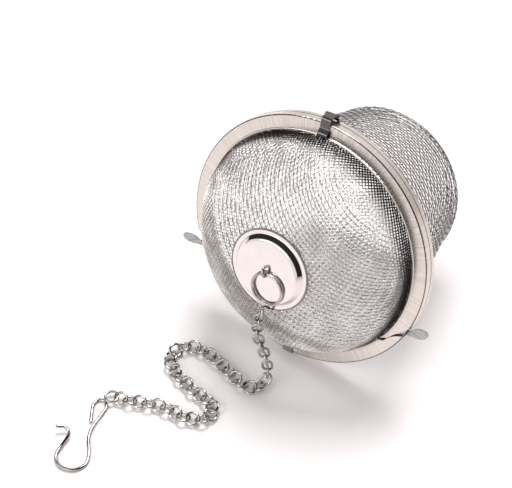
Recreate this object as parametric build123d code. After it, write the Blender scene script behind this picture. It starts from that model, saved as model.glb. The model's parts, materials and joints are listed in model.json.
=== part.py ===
from build123d import *
import math
import os

# A stainless steel tea infuser: a woven mesh basket and a domed mesh lid, each clamped in a
# sheet steel rim, hinged at the top and latched at the bottom. A capped staple in the middle
# of the lid carries a jump ring, and from it a chain runs to a wire hook.
# Lengths are in millimetres and angles in degrees.
#
# Everything but the chain and the hook is drawn in the infuser's own frame: the rims meet at
# Z = 0, +Z points out through the lid and +Y at the hinge. An angle round the rim is counted
# clockwise from the hinge, seen from in front of the lid. lay_down() then puts the closed
# infuser on its side, the way it rests on a table.

os.makedirs("parts", exist_ok=True)

# Rims
rim_radius = 45.0
sheet = 0.45
rim_gap = 0.3
lid_face = 3.0
basket_back = -1.8
lid_mouth = 39.8
basket_mouth = 40.5
bead = 0.45
edge_round = 0.35
clamp_inner = 41.2
clamp_outer = 44.4
clamp_sheet = 0.5

# Woven mesh, as thick as two crossing wires
mesh = 0.7
flange_radius = 43.3
dome_radius = 39.5
dome_rise = 22.6
dome_base = 3.6
wall_top_radius = 40.25
foot_radius = 28.9
foot_depth = 54.9
foot_round = 7.4
foot_flat = 10.0
crown = 1.3

# Cap, washer, staple and jump ring in the middle of the lid
cap_radius = 14.5
cap_face_radius = 11.2
cap_brim = 25.0
cap_face = 27.3
washer_radius = 8.0
washer_top = 24.9
washer_sheet = 0.5
staple_wire = 0.9
staple_half_width = 1.6
staple_top = 29.4
staple_foot = 4.0
staple_offset = 0.5
hang_turn = 15.5
ring_wire = 1.0
ring_radius = 5.6
ring_height = 28.05

# Hinge strap and latch
strip = 0.4
hinge_width = 3.5
pin_radius = 0.45
pin_height = -1.0
pin_reach = 46.2
curl_radius = 0.7
lug_near = 2.0
lug_sheet = 0.6
strap_end = (39.95, 3.72)
strap_crest = (41.5, 4.75)
strap_seat = 43.2
latch_width = 3.8
latch_root = 41.6
latch_split = 45.0
latch_play = 0.02
latch_reach = 45.75
latch_nib = (-45.42, -1.7)
latch_lip = (-45.9, -2.5)

# Ears: their angle round the rim, how far their stems reach, and how far forward they are bent
ear_sheet = 0.55
ear_back = -1.3
ear_root = 43.4
ear_stem = 2.0
ear_width = 3.7
ear_length = 6.4
ear_middle = 3.8
ear_lean = 46.0
ear_left = (-117.0, 48.6, 22.0)
ear_right = (114.2, 45.4, 0.0)

# Chain and hook, in the frame of the table
hook_wire = 1.15
hook_turn = -77.9
link_width = 3.9

# The lid band is slit on both sides, at the ears. Each edge is a list of (radius, angle).
tongue_edge = [(38.5, 125.2), (39.9, 125.2), (41.15, 124.4), (41.55, 121.6), (42.4, 117.8), (43.9, 115.0)]
tongue_edge += [(47.5, 112.6)]
notch_edge = [(38.5, 123.2), (39.9, 123.2), (41.35, 121.0), (42.0, 117.2), (42.8, 114.6), (43.5, 112.5)]
notch_edge += [(44.4, 109.0), (47.5, 105.0)]


def polar(radius, angle):
    """A point of the rim plane, the angle counted clockwise from the hinge."""
    turn = math.radians(angle)
    return (radius * math.sin(turn), radius * math.cos(turn))


def block(inner, outer, low, high):
    """A rectangle of a turned profile, from radius inner to outer and height low to high."""
    return Pos((inner + outer) / 2, (low + high) / 2) * Rectangle(outer - inner, high - low)


def turned(profile):
    """A profile of (radius, height) turned round the infuser's axis."""
    return revolve(Plane.XZ * profile, Axis.Z)


def post_holes(low, high, clearance):
    """The two holes that the staple's legs pass through."""
    hole = Pos(0, 0, low) * extrude(Circle(staple_wire / 2 + clearance), high - low)
    legs = [Pos(0, side * staple_half_width, 0) * hole for side in (-1, 1)]
    return at_staple(legs[0] + legs[1])


def at_staple(shape):
    """Moves a shape drawn about the staple to the staple's place in the lid."""
    return Pos(0, staple_offset, 0) * Rot(0, 0, hang_turn) * shape


def lid_band():
    """The whole lid rim: a flat face with a beaded mouth and a skirt round its outside."""
    profile = block(lid_mouth + bead, rim_radius, lid_face - sheet, lid_face)
    profile += block(rim_radius - sheet, rim_radius, rim_gap / 2, lid_face)
    corner = profile.vertices().sort_by(lambda v: v.X + v.Y)[-1]
    profile = fillet(corner, edge_round)
    profile += Pos(lid_mouth + bead, lid_face - sheet + bead) * Circle(bead)
    return turned(profile)


def band_part(edge, far):
    """The part of the lid band between the slits, on the side of the rim where Y is far."""
    right = [polar(*point) for point in edge]
    left = [(-x, y) for x, y in right]
    reach = abs(far)
    outline = Spline(*right)
    side = right[-1][1]
    outline += Polyline(right[-1], (reach, side), (reach, far), (-reach, far), (-reach, side), left[-1])
    outline += Spline(*reversed(left))
    outline += Line(left[0], right[0])
    region = Pos(0, 0, -1) * extrude(make_face(outline), 5)
    return lid_band() & region


def lid_clamp_ring():
    """The ring under the lid band that pinches the edge of the mesh and joins the two arcs."""
    top = lid_face - sheet - mesh
    return turned(block(clamp_inner, clamp_outer, top - clamp_sheet, top))


def dome_height(radius, wall):
    """Height of the dome's surface, wall deep in the mesh, at a distance from the axis."""
    share = radius / (dome_radius - wall)
    return dome_base + (dome_rise - wall) * math.sqrt(1 - share * share)


def lid_mesh():
    """The domed sheet of mesh with its flat edge, pierced for the staple."""
    flange_top = lid_face - sheet
    flange_bottom = flange_top - mesh
    outer = EllipticalCenterArc((0, dome_base), dome_radius, dome_rise, 0, arc_size=90)
    inner = EllipticalCenterArc((0, dome_base), dome_radius - mesh, dome_rise - mesh, 0, arc_size=90)
    outline = outer + inner
    outline += Line((0, dome_height(0, 0)), (0, dome_height(0, mesh)))
    outline += Polyline(
        (dome_radius - mesh, dome_base),
        (dome_radius - mesh, flange_bottom),
        (flange_radius, flange_bottom),
        (flange_radius, flange_top),
        (dome_radius, flange_top),
        (dome_radius, dome_base),
    )
    return turned(make_face(outline)) - post_holes(20, 30, 0.03)


def cap_disc():
    """The pressed cap: a flat brim over the dome, a round step and a flat face."""
    brim = cap_brim + sheet / 2
    face = cap_face - sheet / 2
    path = FilletPolyline(
        (cap_radius, brim),
        (cap_face_radius + 1.5, brim),
        (cap_face_radius, face),
        (0, face),
        radius=[0.5, 1.0],
    )
    return turned(trace(path, sheet)) - post_holes(20, 30, 0.03)


def cap_washer():
    """The washer inside the dome that the staple's legs are clenched against."""
    plate = turned(block(0, washer_radius, washer_top - washer_sheet, washer_top))
    return plate - post_holes(20, 30, 0.03)


def cap_staple():
    """A wire loop over the cap whose legs pass through cap, mesh and washer and are bent apart."""
    low = washer_top - washer_sheet - staple_wire / 2 - 0.02
    path = FilletPolyline(
        (-staple_foot, low),
        (-staple_half_width, low),
        (-staple_half_width, staple_top),
        (staple_half_width, staple_top),
        (staple_half_width, low),
        (staple_foot, low),
        radius=[0.6, staple_half_width - 0.05, staple_half_width - 0.05, 0.6],
    )
    path = Plane.YZ * path
    section = Plane(origin=path @ 0, z_dir=path % 0) * Circle(staple_wire / 2)
    return at_staple(sweep(section, path=path))


def ring_top():
    """The place inside the staple where the jump ring's wire bears and turns."""
    return staple_half_width - staple_wire / 2 - ring_wire / 2 - 0.1


def jump_ring():
    """The ring that hangs in the staple and lies against the cap."""
    ring = Torus(ring_radius, ring_wire / 2)
    return at_staple(Pos(0, -ring_top() - ring_radius, ring_height) * ring)


def strip_solid(path, width):
    """A bent strip of spring steel from its centreline in the Y-Z plane."""
    return extrude(Plane.YZ * trace(path, strip), width / 2, both=True)


def hinge_strap():
    """The strap on the lid band: humped over its face, bent over the rims and curled round the pin."""
    outside = pin_reach + curl_radius
    leg = lid_face + strip / 2
    path = FilletPolyline(
        strap_end,
        strap_crest,
        (strap_seat, leg),
        (outside, leg),
        (outside, pin_height),
        radius=[0.7, 0.7, 1.0],
    )
    path += CenterArc((pin_reach, pin_height), curl_radius, 0, -215)
    return strip_solid(path, hinge_width)


def hinge_pin():
    """The pin that the strap curls round, with a head at each end."""
    half = lug_near + lug_sheet
    pin = extrude(Plane.YZ * Circle(pin_radius), half + 0.35, both=True)
    head = Plane.YZ.offset(half) * Circle(0.7)
    heads = extrude(head, 0.35) + mirror(extrude(head, 0.35), Plane.YZ)
    return Pos(0, pin_reach, pin_height) * (pin + heads)


def hinge_lug(side):
    """A lug on the skirt of the basket rim that holds one end of the hinge pin."""
    outline = Circle(0.8) + Pos(-1.2, 0) * Rectangle(2.4, 1.5)
    plate = extrude(Plane.YZ * (outline - Circle(pin_radius)), lug_sheet)
    plate = Pos(lug_near, pin_reach, pin_height) * plate
    plate -= extrude(Circle(rim_radius), 6, both=True)
    return plate if side > 0 else mirror(plate, Plane.YZ)


def latch_foot():
    """The latch strip's flat end, welded on the lid band."""
    middle = (latch_root + latch_split - latch_play) / 2
    length = latch_split - latch_play - latch_root
    return Pos(0, -middle, lid_face + strip / 2) * Box(latch_width, length, strip)


def latch_spring():
    """The rest of the latch strip, from its bend on, which snaps past the basket rim."""
    leg = lid_face + strip / 2
    path = FilletPolyline(
        (-latch_split, leg),
        (-latch_reach, leg),
        (-latch_reach, -0.9),
        latch_nib,
        latch_lip,
        radius=[0.6, 0.6, 0.35],
    )
    return strip_solid(path, latch_width)


def ear_notches():
    """The gaps in the basket rim's edge that the ears come out through."""
    near = (Align.CENTER, Align.MIN, Align.MIN)
    gap = Pos(0, ear_root - 0.05, basket_back - 1) * Box(4.6, 4, 4, align=near)
    return Rot(0, 0, -ear_left[0]) * gap + Rot(0, 0, -ear_right[0]) * gap


def basket_rim():
    """The basket's rim: a flat face and a skirt, notched for the ears."""
    front = -rim_gap / 2
    profile = block(basket_mouth, rim_radius, front - sheet, front)
    profile += block(rim_radius - sheet, rim_radius, basket_back, front)
    return turned(profile) - ear_notches()


def basket_clamp_ring():
    """The ring behind the basket's mesh edge that pinches it against the rim."""
    return turned(block(clamp_inner, clamp_outer, ear_back - clamp_sheet, ear_back))


def inset(points, depth):
    """Moves an outline's points inwards, to the left of its direction of travel, by depth."""
    runs = [Vector(*end) - Vector(*start) for start, end in zip(points, points[1:])]
    sides = [Vector(-run.Y, run.X).normalized() for run in runs]
    moved = []
    for point, before, after in zip(points, sides[:1] + sides, sides + sides[-1:]):
        middle = (before + after).normalized()
        step = middle * (depth / middle.dot(before))
        moved.append((point[0] + step.X, point[1] + step.Y))
    return moved


def basket_outline():
    """The outside of the basket's mesh, from the middle of its slightly crowned foot to the mouth."""
    low = -foot_depth - crown
    return [(0, low), (foot_flat, low), (foot_radius, -foot_depth), (wall_top_radius, ear_back)]


def basket_mesh():
    """The deep cup of mesh with its flat edge."""
    outside = basket_outline()
    inside = inset(outside, mesh)
    flange_top = ear_back + mesh
    outer = FilletPolyline(*outside, radius=[80, foot_round])
    inner = FilletPolyline(*inside, radius=[80, foot_round - mesh])
    mouth = inner @ 1
    outline = outer + inner + Line(outer @ 0, inner @ 0)
    edge = [(flange_radius, ear_back), (flange_radius, flange_top), (mouth.X, flange_top)]
    outline += Polyline(outer @ 1, *edge, mouth)
    return turned(make_face(outline))


def ear(angle, reach, bend):
    """A finger ear: a stem on the clamp ring and an oval paddle that leans towards the hinge."""
    stem = Pos(0, (ear_root + reach) / 2) * Rectangle(ear_stem, reach - ear_root)
    stem += Pos(0, reach) * Circle(ear_stem / 2)
    neck = Pos(0, ear_middle / 2) * Rectangle(ear_stem, ear_middle)
    oval = Pos(0, ear_middle) * Ellipse(ear_width / 2, ear_length / 2)
    paddle = Pos(0, 0, -ear_sheet / 2) * extrude(neck + oval, ear_sheet)
    knee = Rot(0, 90, 0) * Cylinder(ear_sheet / 2, ear_stem)
    lean = math.copysign(ear_lean, angle)
    outside = Pos(0, reach, ear_sheet / 2) * Rot(0, 0, lean) * (Rot(bend, 0, 0) * paddle + knee)
    return Rot(0, 0, -angle) * Pos(0, 0, ear_back) * (extrude(stem, ear_sheet) + outside)


def rest_tilt():
    """How far the axis tips up when the latch and the round of the basket's foot touch the table."""
    latch = latch_spring().vertices().sort_by(Axis.Y)[0]
    centre = inset(basket_outline(), foot_round)[2]
    across = -latch.Y - centre[0]
    along = latch.Z - centre[1]
    return math.degrees(math.acos(foot_round / math.hypot(across, along)) - math.atan2(along, across))


def infuser():
    """Every piece of the infuser itself, in the infuser's own frame."""
    pieces = {
        "lid_mesh": lid_mesh(),
        "lid_band_upper": band_part(notch_edge, 60),
        "lid_band_lower": band_part(tongue_edge, -60),
        "lid_clamp_ring": lid_clamp_ring(),
        "cap_disc": cap_disc(),
        "cap_washer": cap_washer(),
        "cap_staple": cap_staple(),
        "jump_ring": jump_ring(),
        "hinge_strap": hinge_strap(),
        "hinge_pin": hinge_pin(),
        "hinge_lug_left": hinge_lug(-1),
        "hinge_lug_right": hinge_lug(1),
        "latch_foot": latch_foot(),
        "latch_spring": latch_spring(),
        "basket_mesh": basket_mesh(),
        "basket_rim": basket_rim(),
        "basket_clamp_ring": basket_clamp_ring(),
        "ear_left": ear(*ear_left),
        "ear_right": ear(*ear_right),
    }
    return pieces


# The closed infuser lies on its side, rolled a little about its own axis.
rest_roll = 2.5
rest = Rot(90 - rest_tilt(), 0, 0) * Rot(0, 0, rest_roll)


def lay_down(pieces):
    """The place of the resting infuser whose footprint is centred on the origin, on Z = 0."""
    box = Compound(children=[rest * piece for piece in pieces.values()]).bounding_box()
    middle = box.center()
    return Pos(-middle.X, -middle.Y, -box.min.Z) * rest


def rounded_path(points):
    """Straight runs joined by tangent arcs, each as round as the shorter run beside it allows."""
    corners = [Vector(*point) for point in points]
    radii = []
    for before, corner, after in zip(corners, corners[1:], corners[2:]):
        turn = math.radians((corner - before).get_angle(after - corner))
        shorter = min((corner - before).length, (after - corner).length)
        radii.append(0.45 * shorter / math.tan(turn / 2))
    return FilletPolyline(*corners, radius=radii), radii


def round_wire(path, diameter):
    """A round bar along a path."""
    section = Plane(origin=path @ 0, z_dir=path % 0) * Circle(diameter / 2)
    return sweep(section, path=path)


def hook_points(place, turn):
    """The corners of the hook's wire on the table, from the closed end of its eye to its tip."""
    eye = [(9.4, -0.1, 0), (6.0, 1.3, 0), (2.4, 2.6, 0), (-0.1, 1.5, 0), (-0.1, -1.2, 0), (2.2, -2.5, 0)]
    shank = [(6.5, -2.0, 0), (11.0, -1.4, 0), (15.5, -2.2, 0), (20.3, -5.3, 0)]
    bowl = [(25.0, -6.6, 0), (28.7, -3.4, 0), (28.9, 1.9, 0), (25.6, 5.1, 0)]
    tip = [(20.8, 4.6, 0.2), (16.6, 3.9, 1.0), (15.0, 6.3, 1.8), (16.4, 8.7, 2.6)]
    along = Vector(math.cos(math.radians(turn)), math.sin(math.radians(turn)))
    across = Vector(along.Y, -along.X)
    bed = Vector(0, 0, hook_wire / 2)
    corners = eye + shank + bowl + tip
    return [place + along * q + across * p + Vector(0, 0, height) + bed for q, p, height in corners]


def hook():
    """The wire hook lying on the table, with its eye at the end of the chain."""
    path, radii = rounded_path(hook_points(hook_eye, hook_turn))
    print("hook radii", [round(radius, 1) for radius in radii])
    return round_wire(path, hook_wire) + Pos(path @ 1) * Sphere(hook_wire / 2)


def chain():
    """The chain's envelope: a tube as wide as its links, along the way it hangs and lies."""
    path, radii = rounded_path(chain_route)
    tube = round_wire(path, link_width)
    length = sum(edge.length for edge in path.edges())
    share = tube.volume / (math.pi * link_width**2 / 4 * length)
    print("chain length", round(length, 1), "volume over section times length", round(share, 4))
    print("chain radii", [round(radius, 1) for radius in radii])
    return tube


# The chain's way, as x, y and height above the table: down from the jump ring, over the table
# in two loose bends, to the hook's eye.
chain_route = [
    (2.4, -46.0, 42.2),
    (1.3, -46.4, 37.5),
    (0.0, -46.3, 31.0),
    (-0.6, -46.0, 25.0),
    (1.2, -45.8, 19.0),
    (2.6, -45.6, 13.2),
    (3.1, -45.7, 8.2),
    (3.3, -46.4, 3.8),
    (2.7, -50.5, 1.97),
    (-1.1, -52.9, 1.97),
    (-6.6, -51.7, 1.97),
    (-12.6, -50.2, 1.97),
    (-18.6, -48.8, 1.97),
    (-24.4, -48.4, 1.97),
    (-29.4, -50.6, 1.97),
    (-31.5, -55.0, 1.97),
    (-29.6, -59.2, 1.97),
    (-24.8, -61.5, 1.97),
    (-19.2, -63.2, 1.97),
    (-13.4, -64.5, 1.97),
    (-8.0, -64.4, 1.97),
    (-4.6, -66.9, 1.97),
    (-5.0, -71.2, 1.97),
    (-8.8, -73.7, 1.97),
    (-13.4, -75.0, 1.97),
    (-18.6, -74.6, 1.97),
    (-24.2, -76.6, 1.97),
    (-29.6, -79.0, 1.97),
    (-34.4, -80.9, 1.97),
    (-37.8, -82.0, 1.97),
]
hook_eye = Vector(-39.5, -84.1)


def main():
    pieces = infuser()
    place = lay_down(pieces)
    for name, piece in pieces.items():
        export_step(place * piece, f"parts/{name}.step")
    export_step(chain(), "parts/chain.step")
    export_step(hook(), "parts/hook.step")


main()
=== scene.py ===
import json
import math
import random

import bpy
import numpy as np
from mathutils import Matrix, Vector


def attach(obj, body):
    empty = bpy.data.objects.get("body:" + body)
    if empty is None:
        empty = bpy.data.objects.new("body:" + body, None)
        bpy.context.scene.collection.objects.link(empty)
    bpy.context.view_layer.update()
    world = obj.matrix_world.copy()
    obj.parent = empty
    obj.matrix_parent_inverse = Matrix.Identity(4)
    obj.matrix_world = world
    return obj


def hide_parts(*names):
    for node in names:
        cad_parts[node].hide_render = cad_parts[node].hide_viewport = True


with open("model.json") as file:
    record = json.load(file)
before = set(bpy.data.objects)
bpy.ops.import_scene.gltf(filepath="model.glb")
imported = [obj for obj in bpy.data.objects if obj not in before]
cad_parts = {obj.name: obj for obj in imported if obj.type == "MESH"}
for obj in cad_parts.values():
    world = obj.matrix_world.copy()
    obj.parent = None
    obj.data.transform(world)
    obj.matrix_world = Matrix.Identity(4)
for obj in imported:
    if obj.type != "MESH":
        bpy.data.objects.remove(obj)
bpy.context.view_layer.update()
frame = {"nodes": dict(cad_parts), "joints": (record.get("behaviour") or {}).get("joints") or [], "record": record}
record = frame["record"]
nodes = frame["nodes"]
scene = bpy.context.scene
scene.view_settings.view_transform = "Standard"
random.seed(4)
MM = 0.001

# ---------------------------------------------------------------- the infuser's own frame
# +Z out through the lid, +Y to the hinge, the rims meeting at Z = 0, in metres.

foot_depth = 56.2 * MM
foot = next(m for m in record["mounts"] if m["name"] == "foot")
hinge = next(j for j in frame["joints"] if j["name"] == "basket_hinge")
out = -Vector(foot["axis"]).normalized()
right = Vector(hinge["axis"]).normalized()
up = out.cross(right)
origin = Vector(foot["pos_m"]) + out * foot_depth
placed = Matrix((right, up, out)).transposed().to_4x4()
placed.translation = origin

# ---------------------------------------------------------------- camera

camera_azimuth = 37.0
camera_elevation = 49.8
camera_roll = -2.51
camera_lens = 95.07
camera_place = (161.60, -259.61, 389.53)


def make_camera():
    azimuth, elevation = math.radians(camera_azimuth), math.radians(camera_elevation)
    roll = math.radians(camera_roll)
    back = Vector((
        math.sin(azimuth) * math.cos(elevation),
        -math.cos(azimuth) * math.cos(elevation),
        math.sin(elevation),
    ))
    side = Vector((math.cos(azimuth), math.sin(azimuth), 0))
    over = back.cross(side)
    across = side * math.cos(roll) + over * math.sin(roll)
    above = over * math.cos(roll) - side * math.sin(roll)
    data = bpy.data.cameras.new("camera")
    data.sensor_width = 36
    data.lens = camera_lens
    data.clip_start = 0.01
    camera = bpy.data.objects.new("camera", data)
    camera.matrix_world = Matrix((across, above, back)).transposed().to_4x4()
    camera.location = Vector(camera_place) * MM
    scene.collection.objects.link(camera)
    scene.camera = camera


make_camera()

# ---------------------------------------------------------------- mesh helpers


def make_mesh(name, verts, faces):
    """A smooth mesh object whose faces all have the same number of corners."""
    mesh = bpy.data.meshes.new(name)
    verts = np.asarray(verts, np.float32).reshape(-1, 3)
    faces = np.asarray(faces, np.int32)
    count, corners = faces.shape
    mesh.vertices.add(len(verts))
    mesh.vertices.foreach_set("co", verts.ravel())
    mesh.loops.add(count * corners)
    mesh.loops.foreach_set("vertex_index", faces.ravel())
    mesh.polygons.add(count)
    mesh.polygons.foreach_set("loop_start", np.arange(0, count * corners, corners, dtype=np.int32))
    mesh.polygons.foreach_set("use_smooth", np.full(count, True))
    mesh.update(calc_edges=True)
    mesh.validate()
    piece = bpy.data.objects.new(name, mesh)
    scene.collection.objects.link(piece)
    return piece


def unit(v):
    return v / np.linalg.norm(v, axis=-1, keepdims=True)


def tube(points, normals, radius, sides, closed=False):
    """Vertices and quads of a round bar along points; normals only steady its cross sections."""
    if closed:
        along = unit(np.roll(points, -1, 0) - np.roll(points, 1, 0))
    else:
        along = unit(np.gradient(points, axis=0))
    across = unit(np.cross(along, normals))
    rise = np.cross(across, along)
    angle = np.arange(sides) * 2 * np.pi / sides + np.pi / sides
    ring = across[:, None] * np.cos(angle)[:, None] + rise[:, None] * np.sin(angle)[:, None]
    verts = points[:, None] + np.reshape(radius, (-1, 1, 1)) * ring
    n = len(points)
    i = np.arange(n if closed else n - 1)[:, None]
    k = np.arange(sides)[None]
    j = (i + 1) % n
    m = (k + 1) % sides
    quads = np.stack([i * sides + k, i * sides + m, j * sides + m, j * sides + k], -1)
    return verts.reshape(-1, 3), quads.reshape(-1, 4)


# ---------------------------------------------------------------- chain
# Links are (hanging, lying). Those that lie on the table are wider and lean less.

chain_route = [
    (2.4, -46.0, 42.2),
    (1.3, -46.4, 37.5),
    (0.0, -46.3, 31.0),
    (-0.6, -46.0, 25.0),
    (1.2, -45.8, 19.0),
    (2.6, -45.6, 13.2),
    (3.1, -45.7, 8.2),
    (3.3, -46.4, 3.8),
    (2.7, -50.5, 1.97),
    (-1.1, -52.9, 1.97),
    (-6.6, -51.7, 1.97),
    (-12.6, -50.2, 1.97),
    (-18.6, -48.8, 1.97),
    (-24.4, -48.4, 1.97),
    (-29.4, -50.6, 1.97),
    (-31.5, -55.0, 1.97),
    (-29.6, -59.2, 1.97),
    (-24.8, -61.5, 1.97),
    (-19.2, -63.2, 1.97),
    (-13.4, -64.5, 1.97),
    (-8.0, -64.4, 1.97),
    (-4.6, -66.9, 1.97),
    (-5.0, -71.2, 1.97),
    (-8.8, -73.7, 1.97),
    (-13.4, -75.0, 1.97),
    (-18.6, -74.6, 1.97),
    (-24.2, -76.6, 1.97),
    (-29.6, -79.0, 1.97),
    (-34.4, -80.9, 1.97),
    (-37.8, -82.0, 1.97),
]
link_wire = 0.9 * MM
link_length = 5.4 * MM
link_widths = (4.2 * MM, 5.2 * MM)
link_leans = (45, 25)
link_play = 0.25 * MM
link_steps = 28
link_sides = 10
end_gap = 0.1 * MM
turn_reach = 1.4 * MM
lying_below = 3 * MM
into_eye = 2.3 * MM
hook_eye = np.array([-39.5, -84.1, 1.97]) * MM


def chain_line():
    """The chain's centreline, read from one smooth spline."""
    data = bpy.data.curves.new("chain_line", "CURVE")
    data.dimensions = "3D"
    data.resolution_u = 16
    spline = data.splines.new("NURBS")
    spline.points.add(len(chain_route) - 1)
    for point, place in zip(spline.points, chain_route):
        point.co = (place[0] * MM, place[1] * MM, place[2] * MM, 1)
    spline.order_u = 3
    spline.use_endpoint_u = True
    curve = bpy.data.objects.new("chain_line", data)
    scene.collection.objects.link(curve)
    mesh = bpy.data.meshes.new_from_object(curve)
    line = np.array([v.co for v in mesh.vertices])
    bpy.data.objects.remove(curve)
    bpy.data.meshes.remove(mesh)
    return line


def link_outline(steps, width):
    """The centreline of one link: two half rounds joined by short straights."""
    half = (width - link_wire) / 2
    straight = (link_length - link_wire) / 2 - half
    angle = (np.arange(steps) + 0.5) * 2 * np.pi / steps
    x = half * np.cos(angle) + straight * np.sign(np.cos(angle))
    return np.stack([x, half * np.sin(angle)], 1)


def places_on(line, travel, places):
    """Points of a line at given travels along it."""
    return np.stack([np.interp(places, travel, line[:, i]) for i in range(3)], 1)


def make_chain():
    """The links, each leaning the other way from the one before, the last over the hook's eye."""
    line = chain_line()
    steps = np.linalg.norm(np.diff(line, axis=0), axis=1)
    travel = np.concatenate([[0], np.cumsum(steps)])
    length = travel[-1]
    reached = line[-1] + unit(hook_eye - line[-1]) * into_eye
    laid = np.concatenate([line, reached[None]])
    travel = np.append(travel, length + into_eye)
    pitch = link_length - 2 * link_wire - link_play
    count = round((travel[-1] - link_length) / pitch) + 1
    places = np.linspace(link_length / 2 + end_gap, travel[-1] - link_length / 2 - end_gap, count)
    centres = places_on(laid, travel, places)
    ahead = places_on(laid, travel, places + turn_reach)
    behind = places_on(laid, travel, places - turn_reach)
    along = unit(ahead - behind)
    normal = np.array([0.0, 0.0, 1.0])
    normals = []
    for tangent in along[::-1]:
        normal = unit(normal - tangent * (normal @ tangent))
        normals.append(normal)
    normals = normals[::-1]
    outlines = [link_outline(link_steps, width) for width in link_widths]
    verts, quads, start = [], [], 0
    for i in range(count):
        lying = int(centres[i][2] < lying_below)
        outline = outlines[lying]
        lean = math.radians(link_leans[lying]) * (1 if i % 2 else -1) + random.uniform(-0.1, 0.1)
        if i == count - 1:
            lean = 0  # the last link lies level, its end over the middle of the eye
        side = np.cross(normals[i], along[i])
        face = math.cos(lean) * normals[i] + math.sin(lean) * side
        wide = np.cross(face, along[i])
        points = centres[i] + outline[:, :1] * along[i] + outline[:, 1:] * wide
        faces = np.tile(face, (len(points), 1))
        v, q = tube(points, faces, link_wire / 2, link_sides, closed=True)
        verts.append(v)
        quads.append(q + start)
        start += len(v)
    piece = make_mesh("chain_links", np.concatenate(verts), np.concatenate(quads))
    return piece, line, length


chain, chain_points, chain_length = make_chain()
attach(chain, "lid")
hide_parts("chain")

# ---------------------------------------------------------------- woven mesh
# The weave starts flat and is drawn over a turned profile: a point keeps its distance from
# the middle and its bearing. A profile is the way of the mesh's middle, (radius, height) in mm.

dome_radius = 39.15
dome_rise = 22.25
dome_base = 3.6
dome_brim = [(39.15, 2.6), (39.4, 2.25), (39.8, 2.2), (43.0, 2.2)]
cup_floor = -55.85
cup_crown = 0.069
bend_radius = 7.05
bend_centre = (22.85, -47.9)
cup_mouth = (39.9, -1.3)
cup_brim = [(40.2, -0.98), (40.8, -0.95), (43.1, -0.95)]


def dome_profile():
    """From the top of the dome down its wall and out under the lid's rim."""
    angle = np.linspace(np.pi / 2, 0, 140)
    dome = np.stack([dome_radius * np.cos(angle), dome_base + dome_rise * np.sin(angle)], 1)
    return np.concatenate([dome, dome_brim])


def cup_profile():
    """From the middle of the slightly crowned foot, up the wall and out under the rim."""
    flat = [(x, cup_floor) for x in np.linspace(0, 8, 8)]
    slope = [(x, cup_floor + (x - 10) * cup_crown) for x in np.linspace(11, 22.4, 12)]
    bend = []
    for turn in np.linspace(-86, 12, 24):
        angle = math.radians(turn)
        x = bend_centre[0] + bend_radius * math.cos(angle)
        bend.append((x, bend_centre[1] + bend_radius * math.sin(angle)))
    (x, z), (top_x, top_z) = bend[-1], cup_mouth
    wall = [(x + (top_x - x) * t, z + (top_z - z) * t) for t in np.linspace(0, 1, 40)[1:]]
    return np.array(flat + slope + bend + wall + cup_brim)


class Surface:
    """A turned surface that wires lie on, by the way along its profile and the bearing."""

    def __init__(self, profile, side):
        self.profile = profile
        steps = np.linalg.norm(np.diff(profile, axis=0), axis=1)
        self.run = np.concatenate([[0], np.cumsum(steps)])
        slope = unit(np.gradient(profile, self.run, axis=0))
        self.outward = np.stack([-slope[:, 1], slope[:, 0]], 1) * side

    def wire(self, way, bearing, wave, thicker=1.0):
        """Points, normals and relative thickness of one wire, lifted off the surface by wave."""
        r, z = (np.interp(way, self.run, self.profile[:, i]) for i in (0, 1))
        nr, nz = (np.interp(way, self.run, self.outward[:, i]) for i in (0, 1))
        normals = unit(np.stack([nr * np.cos(bearing), nr * np.sin(bearing), nz], 1))
        points = np.stack([r * np.cos(bearing), r * np.sin(bearing), z], 1)
        return points + normals * wave[:, None], normals, thicker


def wire_piece(name, wires, radius, closed=False):
    """One object from many wires, put in the infuser's place."""
    verts, quads, start = [], [], 0
    for points, normals, thicker in wires:
        v, q = tube(points, normals, radius * thicker, wire_sides, closed)
        verts.append(v)
        quads.append(q + start)
        start += len(v)
    verts = np.concatenate(verts) * MM
    matrix = np.array(placed)
    verts = verts @ matrix[:3, :3].T + matrix[:3, 3]
    return make_mesh(name, verts, np.concatenate(quads))


def dome_wires(surface, rows):
    """The wires of one way of a plain weave, drawn over the dome."""
    reach = surface.run[-1]
    wires = []
    most = int(reach / lid_pitch) + 1
    for k in range(-most, most):
        off = (k + 0.5) * lid_pitch
        if abs(off) > reach - wire_margin:
            continue
        count = int(math.sqrt(reach * reach - off * off) / (lid_pitch / 2))
        if count < 1:
            continue
        t = np.arange(-count, count + 1) * lid_pitch / 2
        wave = lid_wire / 2 * weave_press * np.sin(np.pi * t / lid_pitch) * (1 if k % 2 else -1)
        across = np.full_like(t, off)
        x, y = (t, across) if rows else (across, t)
        way = np.hypot(x, y)
        start, full = crowded_from * reach, crowded_to * reach
        thicker = 1 + lid_crowded * np.clip((way - start) / (full - start), 0, 1)
        lift = -wave if rows else wave
        wires.append(surface.wire(way, np.arctan2(y, x) + weave_bearing, lift, thicker))
    return wires


def cup_exits(way):
    """Where the wires of the flat foot pass its edge: (bearing, row, end), one way of the weave."""
    most = int((foot_reach - foot_margin) / cup_pitch)
    exits = []
    for k in range(-most, most):
        off = (k + 0.5) * cup_pitch
        half = math.sqrt(foot_reach * foot_reach - off * off)
        for end in (-1, 1):
            x, y = (off, end * half) if way else (end * half, off)
            exits.append((math.atan2(y, x), (way, k, end)))
    return exits


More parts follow.
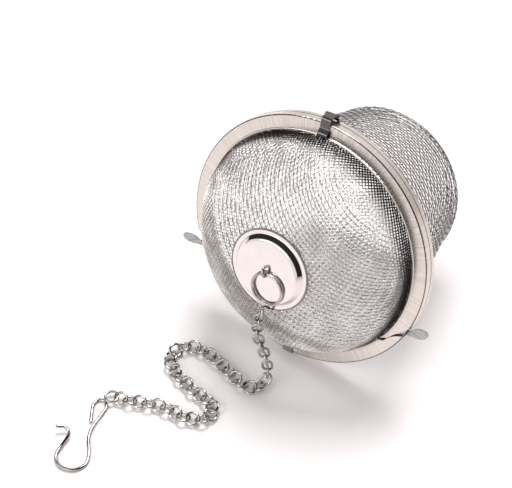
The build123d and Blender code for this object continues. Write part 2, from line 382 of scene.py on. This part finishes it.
def cup_weave_wires(surface):
    """The cup's wires: straight across the foot, then up the wall, with hoops woven through."""
    exits = sorted(cup_exits(0) + cup_exits(1))
    order = {key: i for i, (bearing, key) in enumerate(exits)}
    bearings = np.array([bearing for bearing, key in exits])
    swing = (cup_wire + hoop_wire) / 4 * weave_press
    steps = int((surface.run[-1] - foot_reach) / (hoop_pitch / 2))
    climb = np.arange(1, steps + 1)
    ways = ([], [])
    for bearing, (way, k, end) in exits:
        if end < 0:
            continue
        off = (k + 0.5) * cup_pitch
        count = int(math.sqrt(foot_reach * foot_reach - off * off) / (cup_pitch / 2))
        t = np.arange(-count, count + 1) * cup_pitch / 2
        wave = swing * np.sin(np.pi * t / cup_pitch) * (-1) ** (k + way)
        across = np.full_like(t, off)
        x, y = (across, t) if way else (t, across)
        first = bearings[order[(way, k, -1)]]
        signs = [(-1) ** order[(way, k, side)] for side in (-1, 1)]
        rise = swing * np.sin(np.pi * climb / 2)
        wall = foot_reach + climb * hoop_pitch / 2
        travel = np.concatenate([wall[::-1], np.hypot(x, y), wall])
        turn = np.concatenate([np.full(steps, first), np.arctan2(y, x), np.full(steps, bearing)])
        lift = np.concatenate([signs[0] * rise[::-1], wave, signs[1] * rise])
        ways[way].append(surface.wire(travel, turn + weave_bearing, lift))
    hoops = []
    gaps = (np.roll(bearings, -1) - bearings) % (2 * np.pi)
    turn = np.stack([bearings, bearings + gaps / 2], 1).ravel()
    for k in range(steps // 2):
        travel = np.full_like(turn, foot_reach + (k + 0.5) * hoop_pitch)
        sign = np.zeros_like(turn)
        sign[::2] = (-1) ** (np.arange(len(bearings)) + k + 1)
        hoops.append(surface.wire(travel, turn + weave_bearing, swing * sign))
    return ways[0], ways[1], hoops


weave_bearing = math.radians(20)
weave_press = 0.98
wire_sides = 4
wire_margin = 0.5
lid_pitch = 1.1
lid_wire = 0.28
lid_crowded = 0.5
crowded_from = 0.76
crowded_to = 0.86
cup_pitch = 1.32
hoop_pitch = 1.95
cup_wire = 0.27
hoop_wire = 0.36
foot_reach = 22.5
foot_margin = 0.4
dome = Surface(dome_profile(), 1)
cup = Surface(cup_profile(), -1)
lid_weave = [wire_piece(f"lid_weave_{n}", dome_wires(dome, n == "b"), lid_wire / 2) for n in "ab"]
for piece in lid_weave:
    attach(piece, "lid")
    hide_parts("lid_mesh")
along_x, along_y, hoops = cup_weave_wires(cup)
cup_weave = [
    wire_piece("basket_weave_a", along_x, cup_wire / 2),
    wire_piece("basket_weave_b", along_y, cup_wire / 2),
    wire_piece("basket_weave_hoops", hoops, hoop_wire / 2, closed=True),
]
for piece in cup_weave:
    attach(piece, "basket")
    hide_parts("basket_mesh")

# ---------------------------------------------------------------- materials

brush_scale = 110
brush_relief = 0.02 * MM
cloud_scale = 160
ring_soft = 0.06 * MM
# Painted shade on the lid's wires: full below the first height and gone above the second, measured from the rims'
# meeting plane.
painted_shade_full_below = 6.8 * MM
painted_shade_gone_above = 10.8 * MM


def new_material(name, color, roughness):
    """A metal material, its node tree and its shader."""
    material = bpy.data.materials.new(name)
    material.use_nodes = True
    shader = material.node_tree.nodes["Principled BSDF"]
    shader.inputs["Metallic"].default_value = 1.0
    shader.inputs["Base Color"].default_value = (*color, 1)
    shader.inputs["Roughness"].default_value = roughness
    return material, material.node_tree, shader


def local_coords(tree):
    """Coordinates in the infuser's own frame."""
    coords = tree.nodes.new("ShaderNodeTexCoord")
    mapping = tree.nodes.new("ShaderNodeMapping")
    mapping.vector_type = "TEXTURE"
    mapping.inputs["Location"].default_value = placed.translation
    mapping.inputs["Rotation"].default_value = placed.to_euler()
    tree.links.new(coords.outputs["Object"], mapping.inputs["Vector"])
    return mapping.outputs["Vector"]


def ramp(tree, value, low, high, a, b):
    """a up to low, b from high, and in between in proportion."""
    node = tree.nodes.new("ShaderNodeMapRange")
    node.inputs["From Min"].default_value = low
    node.inputs["From Max"].default_value = high
    node.inputs["To Min"].default_value = a
    node.inputs["To Max"].default_value = b
    tree.links.new(value, node.inputs["Value"])
    return node.outputs["Result"]


def noise(tree, vector, scale, detail=2.0):
    node = tree.nodes.new("ShaderNodeTexNoise")
    node.inputs["Scale"].default_value = scale
    node.inputs["Detail"].default_value = detail
    tree.links.new(vector, node.inputs["Vector"])
    return node.outputs["Fac"]


def mix_colors(tree, fac, a, b):
    node = tree.nodes.new("ShaderNodeMix")
    node.data_type = "RGBA"
    node.inputs["A"].default_value = (*a, 1)
    node.inputs["B"].default_value = (*b, 1)
    tree.links.new(fac, node.inputs["Factor"])
    return node.outputs["Result"]


def flattened(tree, vector):
    """A place in the infuser's own frame, moved to its rim plane."""
    flat = tree.nodes.new("ShaderNodeVectorMath")
    flat.operation = "MULTIPLY"
    flat.inputs[1].default_value = (1, 1, 0)
    tree.links.new(vector, flat.inputs[0])
    return flat.outputs["Vector"]


def painted_dark_ring(tree, vector, low, high, dark):
    """1, but dark between two distances in mm from the infuser's axis: a ring of painted shade."""
    length = tree.nodes.new("ShaderNodeVectorMath")
    length.operation = "LENGTH"
    tree.links.new(flattened(tree, vector), length.inputs[0])
    away = length.outputs["Value"]
    enter = ramp(tree, away, low * MM - ring_soft, low * MM + ring_soft, 1, dark)
    leave = ramp(tree, away, high * MM - ring_soft, high * MM + ring_soft, 0, 1)
    most = tree.nodes.new("ShaderNodeMath")
    most.operation = "MAXIMUM"
    tree.links.new(enter, most.inputs[0])
    tree.links.new(leave, most.inputs[1])
    return most.outputs["Value"]


def dimmed(tree, color, amount):
    """A colour times a value."""
    scaled = tree.nodes.new("ShaderNodeVectorMath")
    scaled.operation = "SCALE"
    tree.links.new(color, scaled.inputs[0])
    tree.links.new(amount, scaled.inputs["Scale"])
    return scaled.outputs["Vector"]


def brushed(name, a, b, low, high, edge=None):
    """Sheet steel with fine brush lines that run out from the infuser's axis.

    It goes from colour a to b and from roughness low to high. The edge is a ring of painted shade
    that stands in for a dark reflection: from one radius to another, and what is left of the colour there.
    """
    material, tree, shader = new_material(name, a, low)
    vector = local_coords(tree)
    bearing = tree.nodes.new("ShaderNodeVectorMath")
    bearing.operation = "NORMALIZE"
    tree.links.new(flattened(tree, vector), bearing.inputs[0])
    lines = noise(tree, bearing.outputs["Vector"], brush_scale, 4)
    color = mix_colors(tree, ramp(tree, lines, 0.35, 0.65, 0, 1), a, b)
    if edge:
        color = dimmed(tree, color, painted_dark_ring(tree, vector, *edge))
    tree.links.new(color, shader.inputs["Base Color"])
    tree.links.new(ramp(tree, lines, 0.3, 0.7, low, high), shader.inputs["Roughness"])
    bump = tree.nodes.new("ShaderNodeBump")
    bump.inputs["Strength"].default_value = 0.25
    bump.inputs["Distance"].default_value = brush_relief
    tree.links.new(lines, bump.inputs["Height"])
    tree.links.new(bump.outputs["Normal"], shader.inputs["Normal"])
    return material


def polished(name, a, b, low, high, edge=None):
    """Polished steel with faint clouding, and an edge of painted shade as on brushed steel."""
    material, tree, shader = new_material(name, a, low)
    vector = local_coords(tree)
    cloud = noise(tree, vector, cloud_scale, 3)
    color = mix_colors(tree, ramp(tree, cloud, 0.35, 0.65, 0, 1), a, b)
    if edge:
        color = dimmed(tree, color, painted_dark_ring(tree, vector, *edge))
    tree.links.new(color, shader.inputs["Base Color"])
    tree.links.new(ramp(tree, cloud, 0.3, 0.7, low, high), shader.inputs["Roughness"])
    return material


def wire_with_painted_shade(name, a, b, dark, low, high):
    """Woven steel wire with painted shade low on the dome's wall: a darker colour there stands in for the dark
    reflection on the wall.
    """
    material, tree, shader = new_material(name, a, low)
    vector = local_coords(tree)
    cloud = noise(tree, vector, cloud_scale, 3)
    height = tree.nodes.new("ShaderNodeSeparateXYZ")
    tree.links.new(vector, height.inputs[0])
    shade = ramp(tree, height.outputs["Z"], painted_shade_full_below, painted_shade_gone_above, 0, 1)
    mixed = tree.nodes.new("ShaderNodeMix")
    mixed.data_type = "RGBA"
    mixed.inputs["A"].default_value = (*dark, 1)
    wire = mix_colors(tree, ramp(tree, cloud, 0.35, 0.65, 0, 1), a, b)
    tree.links.new(wire, mixed.inputs["B"])
    tree.links.new(shade, mixed.inputs["Factor"])
    tree.links.new(mixed.outputs["Result"], shader.inputs["Base Color"])
    tree.links.new(ramp(tree, cloud, 0.3, 0.7, low, high), shader.inputs["Roughness"])
    return material


# The dark ring from 44.6 to 44.9 mm is painted shade: a dark reflection on the rims' outer rounding, put into the
# colour.
rim_steel = brushed(
    "rim_steel", (0.74, 0.68, 0.64), (0.60, 0.55, 0.51),
    0.18, 0.30, (44.6, 44.9, 0.12),
)
edge_steel = brushed("edge_steel", (0.15, 0.14, 0.135), (0.09, 0.085, 0.08), 0.10, 0.18)
ear_steel = brushed("ear_steel", (0.50, 0.49, 0.48), (0.30, 0.29, 0.28), 0.30, 0.45)
# The lid's wires; the third colour is painted shade low on the dome's wall, standing in for dark reflection.
lid_steel = wire_with_painted_shade(
    "lid_steel", (0.84, 0.81, 0.79), (0.58, 0.55, 0.53), (0.035, 0.028, 0.024),
    0.12, 0.20,
)
latch_steel = brushed("latch_steel", (0.34, 0.32, 0.30), (0.26, 0.24, 0.22), 0.16, 0.26)
mesh_steel = polished("mesh_steel", (0.76, 0.75, 0.74), (0.60, 0.59, 0.58), 0.14, 0.22)
hoop_steel = polished("hoop_steel", (0.22, 0.21, 0.21), (0.14, 0.13, 0.13), 0.14, 0.22)
# The dark ring from 14.0 to 15.15 mm is painted shade: a dark reflection at the cap's edge, put into the colour.
bright_steel = polished(
    "bright_steel", (0.80, 0.745, 0.735), (0.76, 0.71, 0.70),
    0.05, 0.10, (14.0, 15.15, 0.25),
)
chain_steel = polished("chain_steel", (0.48, 0.46, 0.435), (0.34, 0.32, 0.30), 0.06, 0.12)
dull_steel = polished("dull_steel", (0.50, 0.48, 0.46), (0.42, 0.40, 0.38), 0.30, 0.42)

finishes = {
    "lid_band_upper": rim_steel,
    "lid_band_lower": rim_steel,
    "basket_rim": rim_steel,
    "lid_clamp_ring": dull_steel,
    "basket_clamp_ring": rim_steel,
    "cap_disc": bright_steel,
    "cap_washer": dull_steel,
    "cap_staple": chain_steel,
    "jump_ring": chain_steel,
    "hinge_strap": edge_steel,
    "hinge_pin": dull_steel,
    "hinge_lug_left": edge_steel,
    "hinge_lug_right": edge_steel,
    "latch_foot": latch_steel,
    "latch_spring": latch_steel,
    "ear_left": ear_steel,
    "ear_right": ear_steel,
    "hook": chain_steel,
}
for name, material in finishes.items():
    nodes[name].data.materials.clear()
    nodes[name].data.materials.append(material)
for piece in lid_weave:
    piece.data.materials.append(lid_steel)
for piece in cup_weave:
    piece.data.materials.append(hoop_steel if piece.name.endswith("hoops") else mesh_steel)
chain.data.materials.append(chain_steel)

# ---------------------------------------------------------------- floor and light


floor_reach = 3.0
floor_drop = 0.1 * MM
floor_color = (0.84, 0.80, 0.805)
floor_roughness = 0.6
studio_color = (1, 0.985, 0.98, 1)
lit_place = (0, 0, 0.03)


def make_floor():
    """A plain pale floor just under the object."""
    signs = ((-1, -1), (1, -1), (1, 1), (-1, 1))
    corners = [(x * floor_reach, y * floor_reach, 0) for x, y in signs]
    piece = make_mesh("floor", corners, [(0, 1, 2, 3)])
    piece.location.z = -floor_drop
    material, tree, shader = new_material("floor", floor_color, floor_roughness)
    shader.inputs["Metallic"].default_value = 0.0
    piece.data.materials.append(material)


def area_light(name, place, size, power):
    """A white softbox that faces the object."""
    data = bpy.data.lights.new(name, "AREA")
    data.shape = "RECTANGLE"
    data.size, data.size_y = size
    data.energy = power
    lamp = bpy.data.objects.new(name, data)
    lamp.location = place
    lamp.rotation_mode = "QUATERNION"
    aim = Vector(lit_place) - Vector(place)
    lamp.rotation_quaternion = aim.to_track_quat("-Z", "Y")
    scene.collection.objects.link(lamp)


def along_direction(tree, direction, toward):
    """How far a direction points toward another, -1 to 1."""
    dot = tree.nodes.new("ShaderNodeVectorMath")
    dot.operation = "DOT_PRODUCT"
    dot.inputs[1].default_value = Vector(toward).normalized()
    tree.links.new(direction, dot.inputs[0])
    return dot.outputs["Value"]


def dim_patch(tree, direction, toward, inner, outer, depth):
    """1 away from a direction and 1 - depth around it, with a soft edge between two angles."""
    low, high = math.cos(math.radians(outer)), math.cos(math.radians(inner))
    return ramp(tree, along_direction(tree, direction, toward), low, high, 1, 1 - depth)


def dim_stripe(tree, direction, across, inner, outer, depth):
    """1 away from the great circle square to across and 1 - depth near it, with a soft edge."""
    size = tree.nodes.new("ShaderNodeMath")
    size.operation = "ABSOLUTE"
    tree.links.new(along_direction(tree, direction, across), size.inputs[0])
    low, high = math.sin(math.radians(inner)), math.sin(math.radians(outer))
    return ramp(tree, size.outputs["Value"], low, high, 1 - depth, 1)


def make_world():
    """A pale studio with a dim patch to the right and a dim stripe from left to right overhead."""
    world = bpy.data.worlds.new("world")
    world.use_nodes = True
    tree = world.node_tree
    back = tree.nodes["Background"]
    coords = tree.nodes.new("ShaderNodeTexCoord")
    direction = coords.outputs["Generated"]
    multiply = tree.nodes.new("ShaderNodeMath")
    multiply.operation = "MULTIPLY"
    patch = dim_patch(tree, direction, (0.85, 0.30, 0.28), 20, 60, 0.55)
    stripe = dim_stripe(tree, direction, (0.15, 0.985, 0), 15, 26, 0.97)
    tree.links.new(patch, multiply.inputs[0])
    tree.links.new(stripe, multiply.inputs[1])
    tree.links.new(multiply.outputs["Value"], back.inputs["Strength"])
    back.inputs["Color"].default_value = studio_color
    scene.world = world


make_floor()
make_world()
area_light("key", (-0.12, 0.34, 0.92), (0.42, 0.42), 8.5)
area_light("fill", (-0.25, -0.70, 0.62), (0.9, 0.6), 3.5)
